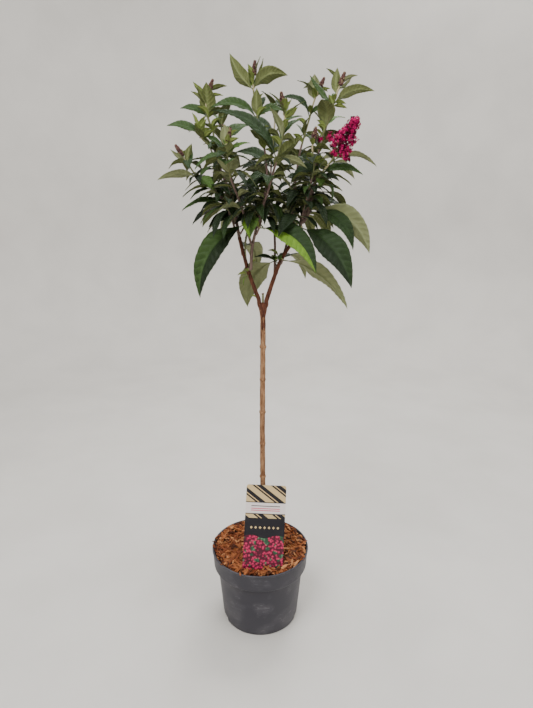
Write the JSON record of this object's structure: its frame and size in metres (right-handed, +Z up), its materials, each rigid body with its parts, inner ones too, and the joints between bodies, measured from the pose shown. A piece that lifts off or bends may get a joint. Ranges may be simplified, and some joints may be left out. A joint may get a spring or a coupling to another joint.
{
  "type": "potted butterfly bush",
  "caption": "Small standard butterfly bush: leafy crown with a magenta flower panicle on a clear stem, in a filled plastic nursery pot with a picture label.",
  "frame": {"origin": "centre of the pot's flat underside, on the ground", "axes": "+Z up along the stem; -Y is the front, where the label faces; +X is the viewer's right"},
  "size_m": [0.3502, 0.2594, 1.028],
  "materials": {
    "pot_plastic": "satin",
    "soil": "matt",
    "bark_mulch": "rough",
    "stem_bark": "rough",
    "bough_bark": "satin",
    "foliage": "satin",
    "blossom": "matt",
    "label_card": "satin"
  },
  "bodies": {
    "root": {"pot": "pot_plastic", "soil": "soil", "mulch": "bark_mulch", "plant_label": "label_card", "trunk": "stem_bark", "bough_left": "bough_bark", "bough_right": "bough_bark", "branch_centre": "bough_bark", "branch_top": "bough_bark", "branch_front_left": "bough_bark", "branch_left_low": "bough_bark", "branch_right_inner": "bough_bark", "branch_right_high": "bough_bark", "branch_back_left": "bough_bark", "branch_back": "bough_bark", "branch_back_right": "bough_bark", "leaves_back": "foliage", "leaves_back_left": "foliage", "leaves_back_right": "foliage", "leaves_centre": "foliage", "leaves_flower_shoot": "foliage", "leaves_front": "foliage", "leaves_front_left": "foliage", "leaves_inner_rear": "foliage", "leaves_left_high": "foliage", "leaves_left_inner": "foliage", "leaves_left_low": "foliage", "leaves_left_mid": "foliage", "leaves_low_back": "foliage", "leaves_low_front": "foliage", "leaves_low_left": "foliage", "leaves_low_middle": "foliage", "leaves_low_rear": "foliage", "leaves_low_right": "foliage", "leaves_middle": "foliage", "leaves_right_high": "foliage", "leaves_right_inner": "foliage", "leaves_right_low": "foliage", "leaves_right_mid": "foliage", "leaves_right_small": "foliage", "leaves_top": "foliage", "flower_panicle": "blossom"}
  },
  "joints": []
}
